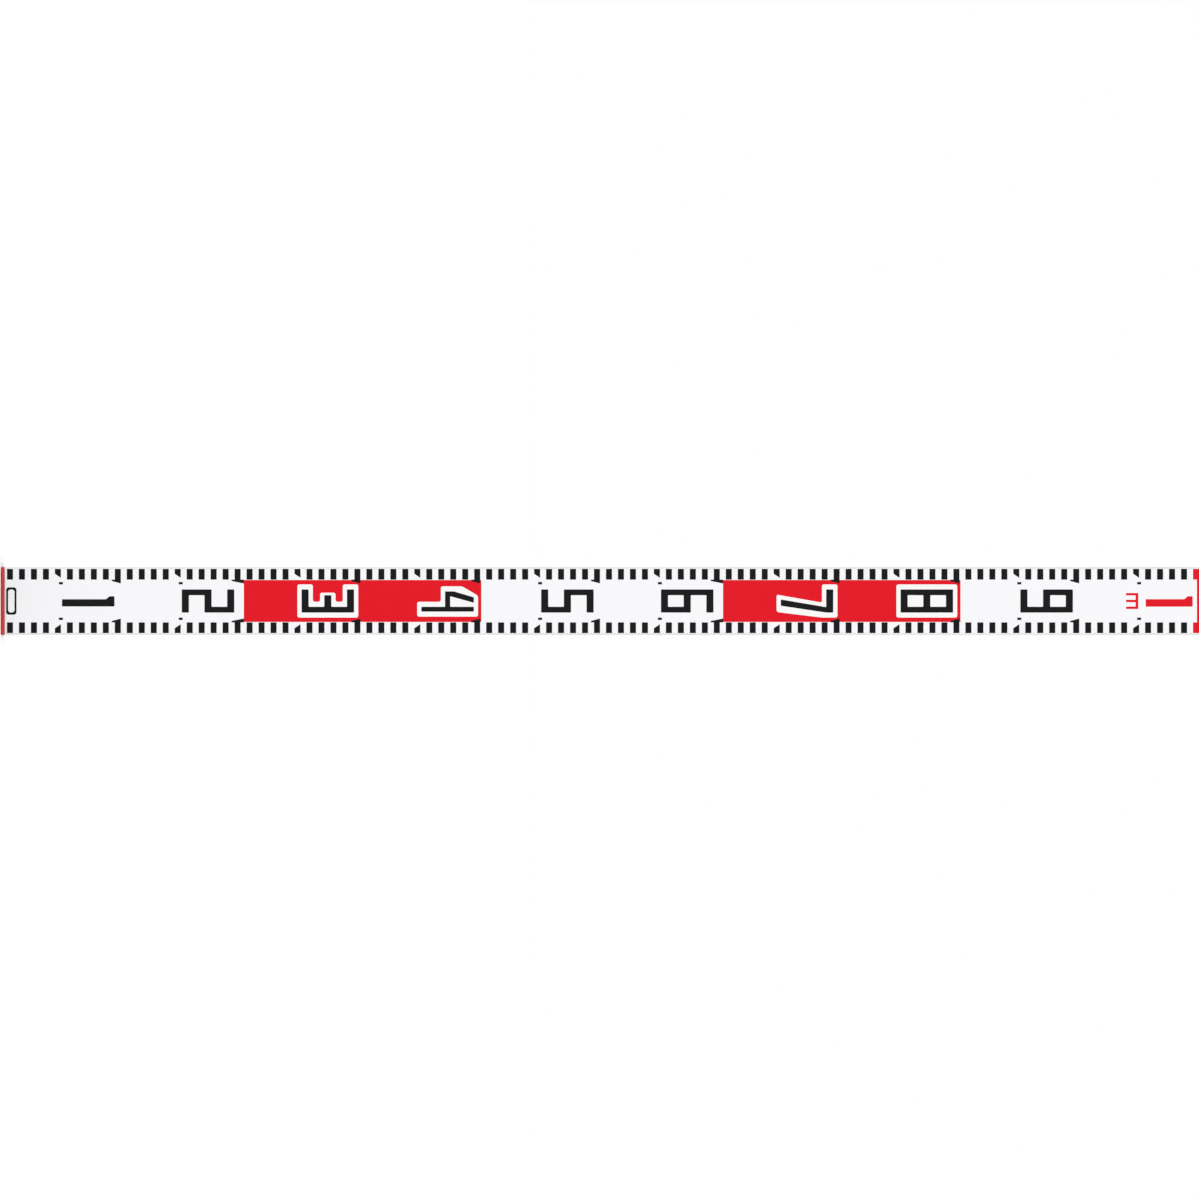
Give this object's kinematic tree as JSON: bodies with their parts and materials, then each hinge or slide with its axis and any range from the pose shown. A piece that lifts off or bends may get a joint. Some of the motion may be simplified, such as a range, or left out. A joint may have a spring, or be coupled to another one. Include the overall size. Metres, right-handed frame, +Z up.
{
  "type": "telescopic measuring rod",
  "caption": "Upright rectangular aluminium measuring rod with nested sliding sections, a printed scale on the front, a flat foot, and sprung latches on the back of its collars.",
  "frame": {"origin": "centre of the zero face under the foot", "axes": "+Z up the rod along its length, -Y out of the printed front face, +Y out of the back with the latches, X across the face"},
  "size_m": [0.061, 0.0427, 1.216],
  "materials": {
    "white_enamel": "white baked enamel on extruded aluminium",
    "scale_film": "semi-gloss printed polyester film",
    "red_nylon": "moulded red nylon",
    "black_abs": "moulded black ABS, fine texture",
    "natural_nylon": "machined natural nylon",
    "black_rubber": "matt cut rubber sheet",
    "stainless_steel": "brushed stainless steel",
    "spring_steel": "blued spring strip",
    "screw_steel": "zinc plated",
    "rivet_aluminium": "bare rivet"
  },
  "bodies": {
    "base_section": {"tube_1": "white_enamel", "scale_film_1": "scale_film", "foot_shoe": "red_nylon", "foot_plate": "stainless_steel", "foot_plate_screws": "screw_steel", "foot_rivets": "rivet_aluminium", "bumper_1": "black_rubber", "guide_sleeve_1": "natural_nylon", "collar_1": "black_abs", "collar_screws_1": "screw_steel", "latch_pin_1": "stainless_steel", "latch_spring_1": "spring_steel"},
    "section_2": {"tube_2": "white_enamel", "scale_film_2": "scale_film", "guide_shoe_2": "natural_nylon", "shoe_rivets_2": "rivet_aluminium", "bumper_2": "black_rubber", "guide_sleeve_2": "natural_nylon", "collar_2": "black_abs", "collar_screws_2": "screw_steel", "latch_pin_2": "stainless_steel", "latch_spring_2": "spring_steel"},
    "section_3": {"tube_3": "white_enamel", "scale_film_3": "scale_film", "guide_shoe_3": "natural_nylon", "shoe_rivets_3": "rivet_aluminium", "bumper_3": "black_rubber", "guide_sleeve_3": "natural_nylon", "collar_3": "black_abs", "collar_screws_3": "screw_steel", "latch_pin_3": "stainless_steel", "latch_spring_3": "spring_steel"},
    "section_4": {"tube_4": "white_enamel", "scale_film_4": "scale_film", "guide_shoe_4": "natural_nylon", "shoe_rivets_4": "rivet_aluminium", "bumper_4": "black_rubber", "guide_sleeve_4": "natural_nylon", "collar_4": "black_abs", "collar_screws_4": "screw_steel", "latch_pin_4": "stainless_steel", "latch_spring_4": "spring_steel"},
    "section_5": {"tube_5": "white_enamel", "scale_film_5": "scale_film", "guide_shoe_5": "natural_nylon", "shoe_rivets_5": "rivet_aluminium", "top_cap": "black_abs", "top_cap_screws": "screw_steel"},
    "latch_1": {"latch_lever_1": "red_nylon"},
    "latch_2": {"latch_lever_2": "red_nylon"},
    "latch_3": {"latch_lever_3": "red_nylon"},
    "latch_4": {"latch_lever_4": "red_nylon"}
  },
  "joints": [
    {"name": "section_2_slide", "type": "slide", "parent": "base_section", "child": "section_2", "axis": [0, 0, 1], "range_m": [0, 0.946]},
    {"name": "section_3_slide", "type": "slide", "parent": "section_2", "child": "section_3", "axis": [0, 0, 1], "range_m": [0, 0.946]},
    {"name": "section_4_slide", "type": "slide", "parent": "section_3", "child": "section_4", "axis": [0, 0, 1], "range_m": [0, 0.946]},
    {"name": "section_5_slide", "type": "slide", "parent": "section_4", "child": "section_5", "axis": [0, 0, 1], "range_m": [0, 0.946]},
    {"name": "latch_1_rock", "type": "hinge", "parent": "base_section", "child": "latch_1", "pos_m": [0, 0.0209, 1.07782], "axis": [1, 0, 0], "range_deg": [-5, 8], "stiffness_Nm_per_rad": 0.1, "springref_deg": 8, "deforming": ["latch_spring_1"]},
    {"name": "latch_2_rock", "type": "hinge", "parent": "section_2", "child": "latch_2", "pos_m": [0, 0.0184, 1.11182], "axis": [1, 0, 0], "range_deg": [-5, 8], "stiffness_Nm_per_rad": 0.1, "springref_deg": 8, "deforming": ["latch_spring_2"]},
    {"name": "latch_3_rock", "type": "hinge", "parent": "section_3", "child": "latch_3", "pos_m": [0, 0.0159, 1.14582], "axis": [1, 0, 0], "range_deg": [-5, 8], "stiffness_Nm_per_rad": 0.1, "springref_deg": 8, "deforming": ["latch_spring_3"]},
    {"name": "latch_4_rock", "type": "hinge", "parent": "section_4", "child": "latch_4", "pos_m": [0, 0.0134, 1.17982], "axis": [1, 0, 0], "range_deg": [-5, 8], "stiffness_Nm_per_rad": 0.1, "springref_deg": 8, "deforming": ["latch_spring_4"]}
  ]
}
